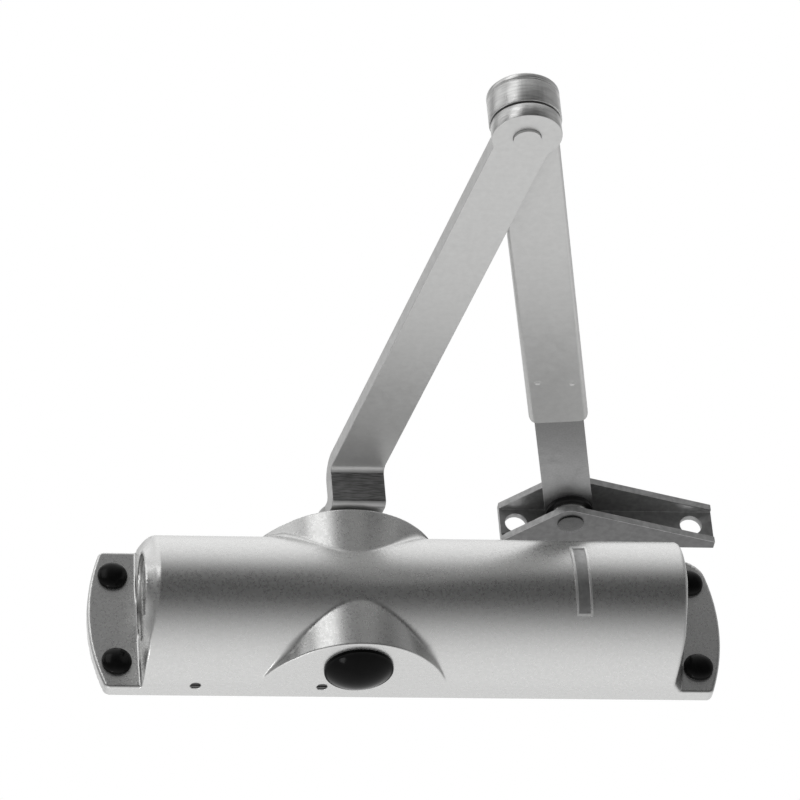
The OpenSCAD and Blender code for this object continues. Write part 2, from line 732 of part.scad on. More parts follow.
module forearm_sleeve() {
    color("silver") forearm_frame() difference() {
        intersection() {
            translate([0, 0, sleeve_z]) rotate([90, 0, 90])
                linear_extrude(sleeve_reach + sleeve_w)
                    sleeve_section(sleeve_w, sleeve_h, sleeve_wall);
            linear_extrude(2 * arm_top) polygon(rounded([[0, -sleeve_w / 2, 0],
                [sleeve_reach + end_slant * sleeve_w / 2, -sleeve_w / 2, sleeve_corner_r],
                [sleeve_reach - end_slant * sleeve_w / 2, sleeve_w / 2, sleeve_corner_r],
                [0, sleeve_w / 2, 0]]));
        }
        translate([hollow_start, -bar_w / 2 - bar_gap, bar_z - bar_gap])
            cube([sleeve_reach + sleeve_w, bar_w + 2 * bar_gap, bar_t + 2 * bar_gap]);
        translate([0, 0, knuckle_z - cut])
            cylinder(r = knuckle_d / 2 + seat_gap, h = knuckle_h + 2 * cut);
        translate([clamp_at, 0, bar_z + bar_t])
            cylinder(r = clamp_screw_d / 2 + seat_gap, h = sleeve_h, $fn = 48);
        for (side = [-1, 1])
            translate([sleeve_reach - dimple_inset - side * dimple_spread * dimple_slant,
                       side * dimple_spread, sleeve_z - dimple_r + dimple_depth])
                sphere(r = dimple_r, $fn = 32);
    }
}
module clamp_nut() {
    color("gray") forearm_frame() translate([clamp_at, 0, sleeve_z + sleeve_h]) difference() {
        hex(nut_w, nut_h);
        translate([0, 0, -cut]) cylinder(r = clamp_screw_d / 2 + seat_gap, h = nut_h + 2 * cut, $fn = 48);
    }
}
module clamp_screw() {
    tip_z = bar_z + bar_t + bar_gap;
    head_z = sleeve_z + sleeve_h + nut_h + clamp_head_gap;
    color("dimgray") forearm_frame() translate([clamp_at, 0, 0]) difference() {
        union() {
            translate([0, 0, tip_z]) cylinder(r = clamp_screw_d / 2, h = head_z - tip_z + cut, $fn = 48);
            translate([0, 0, head_z]) cylinder(r = clamp_head_r, h = clamp_head_h, $fn = 48);
        }
        translate([0, 0, head_z + clamp_head_h - clamp_key_depth]) hex(clamp_key, clamp_head_h);
    }
}
module forearm_bar() {
    bar_start = forearm_len + bar_w / 2 - bar_len;
    color("silver") forearm_frame() translate([0, 0, bar_z]) difference() {
        linear_extrude(bar_t) {
            polygon(rounded([[forearm_len, -bar_w / 2, 0], [forearm_len, bar_w / 2, 0],
                [bar_start, bar_w / 2, bar_end_r], [bar_start, -bar_w / 2, bar_end_r]]));
            translate([forearm_len, 0]) circle(r = bar_w / 2);
        }
        translate([forearm_len, 0, -cut]) cylinder(r = foot_pin_d / 2 + run_gap, h = bar_t + 2 * cut);
    }
}
module pivot_bushes() {
    color("black") at_pin() {
        ring(bush_d / 2, foot_pin_d / 2 + run_gap, bar_z - bush_t, bar_z);
        ring(bush_d / 2, foot_pin_d / 2 + run_gap, bar_z + bar_t, bar_z + bar_t + bush_t);
    }
}

// Bracket
module pivot_collars() {
    reach = bush_t + face_gap;
    color("lightgray") at_pin() {
        ring(collar_d / 2, foot_pin_d / 2 + seat_gap, foot_low + foot_t, bar_z - reach);
        ring(collar_d / 2, foot_pin_d / 2 + seat_gap, bar_z + bar_t + reach, foot_high - foot_t);
    }
}
module ear() {
    right = foot_len - foot_left;
    back = foot_depth + foot_t / 2;
    linear_extrude(foot_t) polygon(rounded([[-foot_left, back, 0], [right, back, 0],
        [right, foot_depth - ear_right_w, ear_end_r], [nose_dx, -nose_reach, nose_r],
        [-foot_left, foot_depth - ear_left_w, ear_end_r]]));
}
module frame_bracket() {
    color("dimgray") at_pin() difference() {
        union() {
            translate([-foot_left, foot_depth, foot_low]) cube([foot_len, foot_t, foot_high - foot_low]);
            translate([0, 0, foot_low]) ear();
            translate([0, 0, foot_high - foot_t]) ear();
        }
        translate([0, 0, foot_low - cut])
            cylinder(r = foot_pin_d / 2 + seat_gap, h = foot_high - foot_low + 2 * cut);
        for (k = [0, 1]) translate([-foot_left + foot_hole_inset + k * foot_hole_pitch,
                                    foot_depth + foot_t + cut, bar_mid_z])
            rotate([90, 0, 0]) cylinder(r = foot_hole_d / 2, h = foot_t + 2 * cut, $fn = 64);
    }
}
module bracket_pin() {
    color("gray") at_pin() {
        translate([0, 0, foot_low]) cylinder(r = foot_pin_d / 2, h = foot_high - foot_low);
        translate([0, 0, foot_high]) pin_head();
        translate([0, 0, foot_low]) mirror([0, 0, 1]) pin_head();
    }
}
module pin_head() {
    rotate_extrude($fn = 64) polygon(dome(foot_pin_head_d / 2, pin_head_t, pin_head_rim));
}

body_casting();
left_end_plug();
right_end_plug();
end_plug_seals();
upper_gland();
lower_bearing();
shaft_seal();
spindle_cap();
blank_badge();
fixing_screws();
closing_valve();
closing_valve_seal();
latching_valve();
latching_valve_seal();
piston();
piston_seals();
check_valve_ball();
check_valve_retainer();
closing_spring();
pinion_shaft();
main_arm();
arm_washer();
arm_screw();
elbow_rivet();
elbow_washer();
elbow_knuckle();
elbow_bush();
knuckle_cap();
forearm_sleeve();
clamp_nut();
clamp_screw();
forearm_bar();
pivot_bushes();
pivot_collars();
frame_bracket();
bracket_pin();
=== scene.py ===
"""Looks for the overhead door closer: camera, light, materials and the finished outer pieces.

A piece made here replaces a CAD node, rides on that node's body and stays inside the CAD model's
box. Blender's own calls take metres. Sizes in names in capitals are millimetres, unless a comment
says otherwise."""
import json
import math

import bmesh
import bpy
import numpy as np
from mathutils import Matrix, Vector

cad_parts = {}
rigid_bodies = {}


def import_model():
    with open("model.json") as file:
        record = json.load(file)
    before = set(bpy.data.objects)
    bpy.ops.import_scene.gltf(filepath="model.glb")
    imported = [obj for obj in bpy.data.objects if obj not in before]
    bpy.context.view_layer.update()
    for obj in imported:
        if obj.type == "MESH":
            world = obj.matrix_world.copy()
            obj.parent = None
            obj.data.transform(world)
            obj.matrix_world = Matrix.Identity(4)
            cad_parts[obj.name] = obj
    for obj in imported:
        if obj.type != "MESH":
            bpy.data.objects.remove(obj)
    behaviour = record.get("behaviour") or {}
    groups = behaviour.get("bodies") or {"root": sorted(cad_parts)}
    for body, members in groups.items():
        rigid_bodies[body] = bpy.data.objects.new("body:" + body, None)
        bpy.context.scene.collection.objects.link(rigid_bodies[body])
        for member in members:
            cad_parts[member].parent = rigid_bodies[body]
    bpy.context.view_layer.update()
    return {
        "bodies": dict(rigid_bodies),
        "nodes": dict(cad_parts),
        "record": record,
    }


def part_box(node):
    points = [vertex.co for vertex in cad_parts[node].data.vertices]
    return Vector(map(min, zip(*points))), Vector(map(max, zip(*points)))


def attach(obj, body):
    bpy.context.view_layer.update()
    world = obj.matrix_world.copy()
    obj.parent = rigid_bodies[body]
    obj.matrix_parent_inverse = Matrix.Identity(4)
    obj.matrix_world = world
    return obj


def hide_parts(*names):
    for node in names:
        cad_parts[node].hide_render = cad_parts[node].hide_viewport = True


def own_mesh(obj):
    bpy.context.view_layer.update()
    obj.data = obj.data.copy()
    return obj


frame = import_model()
nodes = frame["nodes"]
scene = bpy.context.scene
MM = 0.001


def box_mm(node):
    """A CAD node's lowest and highest corners, in millimetres."""
    low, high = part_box(node)
    return low / MM, high / MM


def radius_mm(node):
    """Radius of a CAD node that is round about an upright axis."""
    low, high = box_mm(node)
    return (high.x - low.x) / 2


def add_object(name, data):
    """A new object in the scene."""
    made = bpy.data.objects.new(name, data)
    scene.collection.objects.link(made)
    return made


# Camera, fitted to the photograph. Its angles are turned into radians here and its places into
# metres, and its lens is as long as LENS_PX pixels of a frame that is FRAME_PX wide
AZIMUTH, ELEVATION, ROLL = map(math.radians, (-10.42, -35.82, -5.15))
DISTANCE = 1901.13 * MM
AIM = Vector((-5.08, -60.0, 57.15)) * MM
LENS_PX, FRAME_PX, SENSOR = 5404.08, 800, 36.0
FAR_CLIP_M = 100


def make_camera():
    """Looks at AIM from DISTANCE away."""
    sight = Vector((-math.sin(AZIMUTH) * math.cos(ELEVATION),
                    math.cos(AZIMUTH) * math.cos(ELEVATION), -math.sin(ELEVATION)))
    right = Vector((math.cos(AZIMUTH), math.sin(AZIMUTH), 0))
    up = right.cross(sight)
    right, up = (right * math.cos(ROLL) + up * math.sin(ROLL),
                 up * math.cos(ROLL) - right * math.sin(ROLL))
    data = bpy.data.cameras.new("camera")
    data.sensor_width = SENSOR
    data.lens = SENSOR * LENS_PX / FRAME_PX
    data.clip_end = FAR_CLIP_M
    camera = add_object("camera", data)
    turn = Matrix((right, up, -sight)).transposed().to_4x4()
    camera.matrix_world = Matrix.Translation(AIM - sight * DISTANCE) @ turn
    scene.camera = camera


make_camera()

# Light: strengths of the world's parts, then each lamp's place and size in metres, and its watts
BASE_LIGHT, TOP_LIGHT, LOW_LIGHT, RIGHT_LIGHT = 0.035, 1.35, 1.13, 0.4
LAMPS = {"key": ((-0.9, -1.26, 0.9), (0.8, 1.2), 5.0),
         "side": ((-1.44, -0.27, 0.99), (1.1, 1.1), 3.4),
         "low": ((-0.689, -0.026, -1.092), (0.3, 0.2), 1.5)}
FLOOR_HALF_M, FLOOR_LEVEL_M, FLOOR_TONE, FLOOR_GLOW = 40.0, -4.0, 0.85, 0.3


def make_world():
    """A plain studio round the object: a soft box above, a pale glow from the floor, a weaker one
    from the right, and a dim rest. The camera sees plain white in its place, and so does metal
    that mirrors the wall behind."""
    world = bpy.data.worlds.new("studio")
    world.use_nodes = True
    tree = world.node_tree
    tree.nodes.clear()
    new, link = tree.nodes.new, tree.links.new
    place = new("ShaderNodeTexCoord")

    def part(axis, low, high, strength):
        """Light that rises from nothing to strength as the direction nears the axis. low and high
        are the cosines of the angle between them."""
        dot = new("ShaderNodeVectorMath")
        dot.operation = "DOT_PRODUCT"
        link(place.outputs["Generated"], dot.inputs[0])
        dot.inputs[1].default_value = Vector(axis).normalized()
        rise = new("ShaderNodeMapRange")
        rise.interpolation_type = "SMOOTHSTEP"
        rise.inputs["From Min"].default_value = low
        rise.inputs["From Max"].default_value = high
        rise.inputs["To Min"].default_value = 0.0
        rise.inputs["To Max"].default_value = strength
        link(dot.outputs["Value"], rise.inputs["Value"])
        return rise.outputs["Result"]

    def join(kind, a, b):
        """Joins the strength a to another strength, or to a number."""
        node = new("ShaderNodeMath")
        node.operation = kind
        link(a, node.inputs[0])
        if isinstance(b, float):
            node.inputs[1].default_value = b
        else:
            link(b, node.inputs[1])
        return node.outputs[0]

    soft_box = join("POWER", part((-0.1, 0.15, 0.98), 0.08, 1.0, 1.0), 1.8)
    fade_right = part((-1, 0, 0), -0.75, -0.25, TOP_LIGHT)
    fade_left = join("ADD", part((1, 0, 0), -0.6, -0.2, 0.65), 0.35)
    above = join("MULTIPLY", join("MULTIPLY", soft_box, fade_right), fade_left)
    below = part((0, 0.45, -0.89), -0.54, 1.1, LOW_LIGHT)
    right = part((0.8, 0.0, 0.6), 0.72, 1.0, RIGHT_LIGHT)
    total = join("ADD", join("ADD", join("ADD", above, below), right), BASE_LIGHT)

    studio = new("ShaderNodeBackground")
    white = new("ShaderNodeBackground")
    for node in (studio, white):
        node.inputs["Color"].default_value = (1, 1, 1, 1)
    link(total, studio.inputs["Strength"])
    white.inputs["Strength"].default_value = 1.0
    path = new("ShaderNodeLightPath")
    seen = join("MAXIMUM", path.outputs["Is Camera Ray"], path.outputs["Is Transmission Ray"])
    wall_behind = part((0.1, 0.95, 0.3), 0.55, 0.85, 1.0)
    mirrored = join("MULTIPLY", path.outputs["Is Glossy Ray"], wall_behind)
    mix = new("ShaderNodeMixShader")
    link(join("MAXIMUM", seen, mirrored), mix.inputs["Fac"])
    link(studio.outputs[0], mix.inputs[1])
    link(white.outputs[0], mix.inputs[2])
    link(mix.outputs[0], new("ShaderNodeOutputWorld").inputs["Surface"])
    scene.world = world


def make_lamp(name, place, size, watts):
    """A rectangular lamp that faces the origin."""
    data = bpy.data.lights.new(name, "AREA")
    data.shape = "RECTANGLE"
    data.size, data.size_y = size
    data.energy = watts
    lamp = add_object(name, data)
    place = Vector(place)
    turn = place.to_track_quat("Z", "Y").to_matrix().to_4x4()
    lamp.matrix_world = Matrix.Translation(place) @ turn
    lamp.visible_camera = False


def make_floor():
    """The studio's pale floor, below the camera. The world's glow from below is its light on the
    object, and the camera sees it nearly white."""
    mesh = bpy.data.meshes.new("floor")
    build = bmesh.new()
    build.faces.new([build.verts.new((x * FLOOR_HALF_M, y * FLOOR_HALF_M, FLOOR_LEVEL_M))
                     for x, y in ((-1, -1), (1, -1), (1, 1), (-1, 1))])
    build.to_mesh(mesh)
    build.free()
    material, tree, shader = new_material("floor", rgb(FLOOR_TONE), 0.0, 0.8)
    path = tree.nodes.new("ShaderNodeLightPath")
    shader.inputs["Emission Color"].default_value = (*rgb(FLOOR_GLOW), 1)
    tree.links.new(path.outputs["Is Camera Ray"], shader.inputs["Emission Strength"])
    mesh.materials.append(material)
    floor = add_object("floor", mesh)
    floor.visible_diffuse = floor.visible_glossy = floor.visible_shadow = False


# Materials: the ends of the noise that give the extreme tones and roughnesses, and how deep the
# grain's bump is
TONE_ENDS, ROUGH_ENDS, GRAIN_DEPTH_M = (0.32, 0.68), (0.3, 0.7), 0.0001


def new_material(name, colour, metallic, roughness):
    """A material with a Principled shader, its node tree and the shader."""
    material = bpy.data.materials.new(name)
    material.use_nodes = True
    shader = material.node_tree.nodes["Principled BSDF"]
    shader.inputs["Base Color"].default_value = (*colour, 1)
    shader.inputs["Metallic"].default_value = metallic
    shader.inputs["Roughness"].default_value = roughness
    return material, material.node_tree, shader


def noise(tree, scale, stretch, detail=2.0):
    """Noise in the piece's own space. stretch squeezes it along an axis into streaks."""
    texture = tree.nodes.new("ShaderNodeTexNoise")
    texture.inputs["Scale"].default_value = scale
    texture.inputs["Detail"].default_value = detail
    last = tree.nodes.new("ShaderNodeTexCoord").outputs["Object"]
    if stretch:
        move = tree.nodes.new("ShaderNodeMapping")
        move.inputs["Scale"].default_value = stretch
        tree.links.new(last, move.inputs["Vector"])
        last = move.outputs["Vector"]
    tree.links.new(last, texture.inputs["Vector"])
    return texture.outputs["Fac"]


def rgb(tone):
    """Red, green and blue of a grey, or of a colour as it is."""
    return tuple(tone) if hasattr(tone, "__len__") else (tone, tone, tone)


def ramp(tree, source, places, low, high):
    """Runs from the grey or colour low to high as source goes from the first place to the last."""
    node = tree.nodes.new("ShaderNodeValToRGB")
    ends = node.color_ramp.elements
    ends[0].position, ends[1].position = places
    ends[0].color, ends[1].color = (*rgb(low), 1), (*rgb(high), 1)
    tree.links.new(source, node.inputs["Fac"])
    return node.outputs["Color"]


def surface(name, tone, metallic, roughness, spread=0.06, tone_scale=900, tone_stretch=None,
            rough_spread=0.05, rough_scale=300, bump=0.0, bump_scale=1500, grain_stretch=None,
            gloss=0.5):
    """Painted or bare metal, rubber or plastic: fine variation of its tone, uneven roughness, and
    a grain where bump is set."""
    colour = rgb(tone)
    material, tree, shader = new_material(name, colour, metallic, roughness)
    tones = noise(tree, tone_scale, tone_stretch)
    dark = [c * (1 - spread) for c in colour]
    light = [min(1, c * (1 + spread)) for c in colour]
    tree.links.new(ramp(tree, tones, TONE_ENDS, dark, light), shader.inputs["Base Color"])
    patches = noise(tree, rough_scale, grain_stretch, 3.0)
    smooth, rough = max(0, roughness - rough_spread), min(1, roughness + rough_spread)
    tree.links.new(ramp(tree, patches, ROUGH_ENDS, smooth, rough), shader.inputs["Roughness"])
    shader.inputs["Specular IOR Level"].default_value = gloss
    if bump:
        grain = tree.nodes.new("ShaderNodeBump")
        grain.inputs["Strength"].default_value = bump
        grain.inputs["Distance"].default_value = GRAIN_DEPTH_M
        tree.links.new(noise(tree, bump_scale, grain_stretch), grain.inputs["Height"])
        tree.links.new(grain.outputs["Normal"], shader.inputs["Normal"])
    return material


# Each finish: its tone as a grey or a colour, then what surface takes
FINISHES = {
    "casting_paint": dict(tone=(0.57, 0.57, 0.565), metallic=0.85, roughness=0.3, spread=0.025,
                          tone_scale=700, rough_spread=0.055, rough_scale=1000),
    "arm_silver": dict(tone=(0.52, 0.52, 0.515), metallic=0.6, roughness=0.4, spread=0.03,
                       tone_scale=500),
    "bright_steel": dict(tone=(0.66, 0.66, 0.65), metallic=1.0, roughness=0.2, spread=0.05,
                         tone_scale=120, tone_stretch=(1, 1, 8), bump=0.08,
                         grain_stretch=(1, 1, 20)),
    "knuckle_steel": dict(tone=(0.52, 0.52, 0.515), metallic=0.9, roughness=0.34, spread=0.16,
                          tone_scale=160, tone_stretch=(1, 1, 7), rough_spread=0.08, bump=0.15,
                          bump_scale=900, grain_stretch=(1, 1, 8)),
    "pin_steel": dict(tone=0.08, metallic=0.9, roughness=0.26, spread=0.1, tone_scale=600),
    "plain_steel": dict(tone=0.36, metallic=1.0, roughness=0.34, spread=0.08, tone_scale=500,
                        bump=0.1),
    "bracket_steel": dict(tone=0.12, metallic=0.6, roughness=0.34, spread=0.14, tone_scale=500),
    # The bracket's faces between its ears: lighter, painted light where they lie in shade
    "worn_steel": dict(tone=0.3, metallic=0.5, roughness=0.36, spread=0.14, tone_scale=500),
    # The bracket's cut and rounded edges: lighter, a painted highlight
    "cut_edge": dict(tone=0.42, metallic=0.3, roughness=0.4, spread=0.15, tone_scale=500,
                     bump=0.15),
    # The arm's web between its bends: a darker finish that is painted shade, with streaks
    "bend_face": dict(tone=0.2, metallic=0.9, roughness=0.4, spread=0.35, tone_scale=260,
                      tone_stretch=(1, 1, 9), bump=0.2, grain_stretch=(1, 1, 9)),
    "bar_steel": dict(tone=0.3, metallic=0.9, roughness=0.4, tone_scale=1400, bump=0.1,
                      bump_scale=2400),
    "black_steel": dict(tone=0.006, metallic=0.0, roughness=0.2, spread=0.2, tone_scale=400,
                        rough_spread=0.04, gloss=0.1),
    "cap_black": dict(tone=0.003, metallic=0.0, roughness=0.13, spread=0.2, tone_scale=300,
                      rough_spread=0.01, gloss=0.05),
    "badge_plate": dict(tone=(0.74, 0.74, 0.735), metallic=0.7, roughness=0.3, spread=0.08,
                        bump=0.1),
    "badge_field": dict(tone=0.36, metallic=0.85, roughness=0.38, spread=0.1, tone_scale=700),
    "black_rubber": dict(tone=0.02, metallic=0.0, roughness=0.6, spread=0.2, tone_scale=600,
                         gloss=0.2),
    "black_nylon": dict(tone=0.015, metallic=0.0, roughness=0.4, spread=0.2, tone_scale=600,
                        gloss=0.2),
    "bronze": dict(tone=(0.5, 0.34, 0.17), metallic=1.0, roughness=0.36, spread=0.12,
                   tone_scale=700),
    "spring_steel": dict(tone=(0.2, 0.21, 0.23), metallic=1.0, roughness=0.32, spread=0.1,
                         tone_scale=600),
}
materials = {name: surface(name, **finish) for name, finish in FINISHES.items()}

# Nodes whose finish differs from the rest of their slot
OWN_FINISH = {"forearm_bar": "bar_steel", "bracket_pin": "pin_steel",
              "elbow_knuckle": "knuckle_steel", "knuckle_cap": "knuckle_steel",
              "pivot_collars": "bright_steel", "closing_valve": "pin_steel",
              "latching_valve": "pin_steel"}
slot_of = {row["node"]: row["material_slot"] for row in frame["record"]["subparts"]}


def finish_of(node):
    return materials[OWN_FINISH.get(node, slot_of[node])]


def dress_nodes():
    """Gives each CAD node its finish."""
    for node in slot_of:
        mesh = nodes[node].data
        mesh.materials.clear()
        mesh.materials.append(finish_of(node))


# Pieces: what counts as one point and as one plane when a node is copied, the area in square
# millimetres from which a face stays flat, and the steps of a rounded edge
SAME_POINT_M, SAME_PLANE, FLAT_FACE, BEVEL_STEPS = 1e-6, math.radians(0.4), 60, 3
body_name = {empty: name for name, empty in frame["bodies"].items()}


def new_piece(name, mesh, node):
    """Puts a mesh in the scene in place of a CAD node, on the node's own body."""
    piece = add_object(name, mesh)
    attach(piece, body_name[nodes[node].parent])
    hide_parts(node)
    return piece


def built_piece(name, build, node, *more):
    """Makes a piece of the mesh in build. Finish 0 is the node's own, and more are the next."""
    mesh = bpy.data.meshes.new(name)
    build.to_mesh(mesh)
    build.free()
    mesh.materials.append(finish_of(node))
    for finish in more:
        mesh.materials.append(materials[finish])
    return new_piece(name, mesh, node)


def copy_of(node):
    """A CAD node's mesh, ready to be edited."""
    build = bmesh.new()
    build.from_mesh(nodes[node].data)
    bmesh.ops.remove_doubles(build, verts=build.verts, dist=SAME_POINT_M)
    return build


def bevelled(name, node, width, *more, sharp=35, choose=None, rounded_edge_finish=-1):
    """A copy of a CAD node, its edges that are sharper than the angle sharp rounded to width.
    choose gives each face the number of its finish, and the last argument is that of the rounded
    edges."""
    build = copy_of(node)
    bmesh.ops.dissolve_limit(build, angle_limit=SAME_PLANE, verts=build.verts, edges=build.edges)
    build.normal_update()
    for face in build.faces:
        face.smooth = face.calc_area() < FLAT_FACE * MM * MM
        face.material_index = choose(face) if choose else 0
    piece = built_piece(name, build, node, *more)
    soft = piece.modifiers.new("bevel", "BEVEL")
    soft.width = width * MM
    soft.segments = BEVEL_STEPS
    soft.limit_method = "ANGLE"
    soft.angle_limit = math.radians(sharp)
    soft.harden_normals = True
    soft.material = rounded_edge_finish


# Casing: its outline and holes are taken from the CAD nodes
CASE_LOW, CASE_HIGH = box_mm("body_casting")
HALF_LEN, HALF_H, FRONT_Y = CASE_HIGH.x, CASE_HIGH.z, CASE_LOW.y
BARREL_Y, BARREL_R = FRONT_Y + HALF_H, HALF_H
PLUG_LEFT_LOW, PLUG_LEFT_HIGH = box_mm("left_end_plug")
PLUG_RIGHT_LOW, PLUG_RIGHT_HIGH = box_mm("right_end_plug")
PLUG_R = (PLUG_LEFT_HIGH.z - PLUG_LEFT_LOW.z) / 2
PLUG_INSET = 1.2
LEFT_END, RIGHT_END = PLUG_LEFT_LOW.x - PLUG_INSET, PLUG_RIGHT_HIGH.x + PLUG_INSET
GLAND_LOW, GLAND_HIGH = box_mm("upper_gland")
SPINDLE_X, SPINDLE_Y = (GLAND_LOW.x + GLAND_HIGH.x) / 2, (GLAND_LOW.y + GLAND_HIGH.y) / 2
GLAND_R, BEARING_R, VALVE_R = map(radius_mm, ("upper_gland", "lower_bearing", "closing_valve"))
VALVES = [(low + high) / 2 for low, high in map(box_mm, ("closing_valve", "latching_valve"))]
VALVE_TOP = box_mm("closing_valve")[1].z
SCREW_LOW, SCREW_HIGH = box_mm("fixing_screws")
SCREW_HEAD_R = 5.35
SCREW_X, SCREW_Z = SCREW_HIGH.x - SCREW_HEAD_R, SCREW_HIGH.z - SCREW_HEAD_R
CORNERS = [(side_x, side_z) for side_x in (-1, 1) for side_z in (-1, 1)]
BORE_R, SPINDLE_BORE_R, BEARING_DEPTH, SCREW_HOLE_R = 14.0, 9.2, 12.0, 2.8
SEAT, VALVE_GAP = 0.04, 0.05
FAR = 2 * HALF_LEN

# How far each end of the barrel is cut back, by the angle round it in degrees: 0 is at the
# underside, 90 at the front and 180 on top
LEFT_CUT = ([0, 20, 40, 55, 73, 90, 145, 160, 180], [0.1, 0.6, 1.5, 3.0, 4.4, 4.9, 5.0, 3.4, 0.6])
RIGHT_CUT = ([0, 10, 30, 45, 60, 90, 135], [3.0, 3.2, 2.6, 1.8, 1.5, 0.5, 0])
# The left cut leaves a flat land round the plug and slopes from there over a ring to the barrel's
# outside. The right cut grows between two shares of the barrel's radius, and towards the flange
# only a share of its depth is kept
LAND, LEAST_RING = 1.2, 0.8
RIGHT_RISE, RIGHT_FADE_Y, RIGHT_KEPT = (1.9 / 3, 2.9 / 3), (-9, -5), 0.25
LEFT_ROUND, RIGHT_ROUND, MOUTH_ROUND = 0.6, 1.7, 0.5

# The spindle's bosses spread towards the door, and their fillet changes with y
BOSS_R, BOSS_Y, BOSS_ROUND = 32.6, -1.1, 0.55
SKIRT_Y, SKIRT_LEFT, SKIRT_RIGHT = (-24, -8), 2.4, 0.8
BOSS_FILLET = ([-31, -24, -15], [0.3, 2.0, 0.4])

# The plate, whose two ends are the screw flanges. Their arcs count from FLANGE_FROM outwards and
# DEEP stands for well inside. The corner at the top right is the larger one
FLANGE_T, FLANGE_ARC_R, FLANGE_FROM, DEEP = 5.0, 80.0, 60.0, 20.0
PLATE_CORNER, PLATE_BIG_CORNER, PLATE_ROUND, PLATE_FILLET = 1.6, 7.0, 0.9, 0.9


def round_max(a, b, r):
    """Meeting of two solids, its edge rounded to r."""
    return np.minimum(-r, np.maximum(a, b)) + np.hypot(np.maximum(r + a, 0), np.maximum(r + b, 0))


def round_min(a, b, r):
    """Union of two solids with a fillet of r between them."""
    return np.maximum(r, np.minimum(a, b)) - np.hypot(np.maximum(r - a, 0), np.maximum(r - b, 0))


def tube(u, v, low, high, r):
    """Round pin of radius r between the planes low and high."""
    return np.maximum(np.hypot(u, v) - r, np.maximum(low, high))


def barrel(x, y, z):
    """The barrel, round at the front and straight towards the door, with both ends cut back."""
    round_y = y - BARREL_Y
    section = np.where(round_y > 0, np.abs(z), np.hypot(round_y, z)) - BARREL_R
    turn = np.degrees(np.arctan2(np.maximum(-round_y, 0), -z))
    rim_y = np.where(round_y > 0, y, BARREL_Y - BARREL_R * np.sin(np.radians(turn)))
    rim_z = BARREL_R * np.cos(np.radians(turn))
    ring = np.maximum(np.hypot(rim_y - SPINDLE_Y, rim_z) - PLUG_R - LAND, LEAST_RING)
    left = np.interp(turn, *LEFT_CUT) * np.clip(1 + section / ring, 0, 1)
    rise = np.interp(1 + section / BARREL_R, RIGHT_RISE, [0, 1])
    right = (np.interp(turn, *RIGHT_CUT) * rise * rise * (3 - 2 * rise)
             * np.interp(y, RIGHT_FADE_Y, [1, RIGHT_KEPT]))
    solid = round_max(section, LEFT_END + left - x, LEFT_ROUND)
    return round_max(solid, x - RIGHT_END + right, RIGHT_ROUND)


def bosses(x, y, z):
    """The round bosses at both ends of the spindle."""
    skirt = np.interp(y, SKIRT_Y, [0, 1]) * np.where(x < SPINDLE_X, SKIRT_LEFT, SKIRT_RIGHT)
    wall = np.hypot(x - SPINDLE_X, y - BOSS_Y) - BOSS_R - skirt
    return round_max(wall, np.abs(z) - HALF_H, BOSS_ROUND)


def plate(x, y, z):
    """The plate against the door, whose ends are arcs."""
    ends = np.hypot(np.abs(x) - (HALF_LEN - FLANGE_ARC_R), z) - FLANGE_ARC_R
    ends = np.where(np.abs(x) < FLANGE_FROM, -DEEP, ends)
    corner = np.where((x > 0) & (z > 0), PLATE_BIG_CORNER, PLATE_CORNER)
    outline = round_max(ends, np.abs(z) - HALF_H, corner)
    return round_max(outline, -FLANGE_T - y, PLATE_ROUND)


def plug_mouths(x, y, z):
    left_floor, right_floor = PLUG_LEFT_HIGH.x + SEAT, PLUG_RIGHT_LOW.x - SEAT
    return [tube(y - SPINDLE_Y, z, LEFT_END - x, x - left_floor, PLUG_R + SEAT),
            tube(y - SPINDLE_Y, z, right_floor - x, x - RIGHT_END, PLUG_R + SEAT)]


def bores(x, y, z):
    """Bores for the piston, spindle, gland, bearing and valves, and the screws' holes."""
    across, away, inner = x - SPINDLE_X, y - SPINDLE_Y, HALF_H - BEARING_DEPTH
    cuts = [tube(away, z, LEFT_END - x, x - RIGHT_END, BORE_R),
            tube(across, away, -inner - z, z - inner, SPINDLE_BORE_R),
            tube(across, away, inner - z, z - FAR, GLAND_R + SEAT),
            tube(across, away, -FAR - z, z + inner, BEARING_R + SEAT)]
    cuts += [tube(x - valve.x, y - valve.y, -FAR - z, z - VALVE_TOP, VALVE_R + VALVE_GAP)
             for valve in VALVES]
    cuts += [tube(x - side_x * SCREW_X, z - side_z * SCREW_Z, -FAR - y, y - FAR, SCREW_HOLE_R)
             for side_x, side_z in CORNERS]
    return cuts


def casing(x, y, z):
    """Signed distance to the casting, in millimetres."""
    solid = round_min(barrel(x, y, z), bosses(x, y, z), np.interp(y, *BOSS_FILLET))
    solid = round_min(solid, plate(x, y, z), PLATE_FILLET)
    solid = np.maximum(np.maximum(solid, np.abs(z) - HALF_H), np.maximum(y, FRONT_Y - y))
    for mouth in plug_mouths(x, y, z):
        solid = round_max(solid, -mouth, MOUTH_ROUND)
    for bore in bores(x, y, z):
        solid = np.maximum(solid, -bore)
    return solid


def spaced(*runs):
    """Grid places from runs of (start, end, step)."""
    parts = [np.linspace(a, b, max(2, round((b - a) / step) + 1))[:-1] for a, b, step in runs]
    return np.append(np.concatenate(parts), runs[-1][1])


def slopes(field, points, step):
    """How fast the field grows along each axis at the points."""
    x, y, z = points.T
    return np.stack([field(x + step, y, z) - field(x - step, y, z),
                     field(x, y + step, z) - field(x, y - step, z),
                     field(x, y, z + step) - field(x, y, z - step)], 1) / (2 * step)


# Moves of a net's points onto the surface: how many, how far each goes, the step that slopes are
# measured over, and the least square of a slope
SETTLE_MOVES, SETTLE_SHARE, SETTLE_STEP, SETTLE_LEAST = 4, 0.8, 0.02, 0.3


CELL_CORNERS = [(i, j, k) for i in (0, 1) for j in (0, 1) for k in (0, 1)]


def at_corner(values, corner):
    """The values at one corner of every cell of the grid."""
    return values[tuple(slice(k, size - 1 + k) for k, size in zip(corner, values.shape))]


